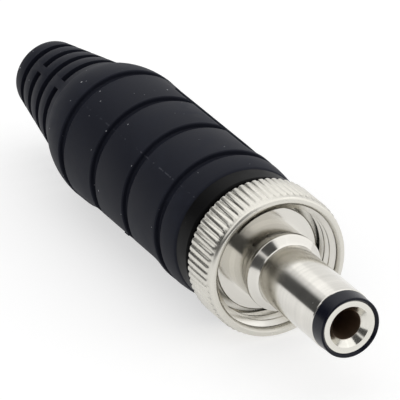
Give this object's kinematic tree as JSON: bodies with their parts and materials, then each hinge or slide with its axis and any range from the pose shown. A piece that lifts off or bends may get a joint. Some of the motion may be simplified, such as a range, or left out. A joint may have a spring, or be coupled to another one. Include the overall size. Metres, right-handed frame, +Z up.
{
  "type": "locking dc barrel plug",
  "caption": "Straight cable-mount dc power plug: barrel with centre socket contact, knurled lock ring, screw-on rubber handle with strain relief.",
  "frame": {"origin": "on the plug's axis, at the front edge of the metal barrel, where the socket's contact takes hold", "axes": "+Y along the axis from the tip to the cable end, +Z up as the plug lies in use, +X to the right seen from the tip"},
  "size_m": [0.0128, 0.0564, 0.0128],
  "materials": {
    "nickel_polished": "bright nickel plating on turned brass",
    "nickel_contact": "bright nickel plating on turned brass",
    "nickel_satin": "satin nickel plating on knurled brass",
    "nose_plastic": "glossy blue-black",
    "bush_plastic": "glossy black",
    "handle_rubber": "matte, faintly dusty",
    "tinned_brass": "tin plating on stamped brass",
    "washer_laminate": "matte brown laminate"
  },
  "bodies": {
    "plug": {"barrel": "nickel_polished", "nose_insulator": "nose_plastic", "centre_contact": "nickel_contact", "plug_body": "nickel_polished", "front_bush": "bush_plastic", "sleeve_terminal": "tinned_brass", "insulating_washer": "washer_laminate", "centre_terminal": "tinned_brass"},
    "lock_ring": {"lock_ring": "nickel_satin"},
    "handle": {"handle": "handle_rubber"}
  },
  "joints": [
    {"name": "lock_ring_spin", "type": "hinge", "parent": "plug", "child": "lock_ring", "pos_m": [0, 0.013, 0], "axis": [0, 1, 0], "continuous": true},
    {"name": "handle_slide", "type": "slide", "parent": "plug", "child": "handle", "axis": [0, 1, 0], "range_m": [0, 0.023]}
  ]
}
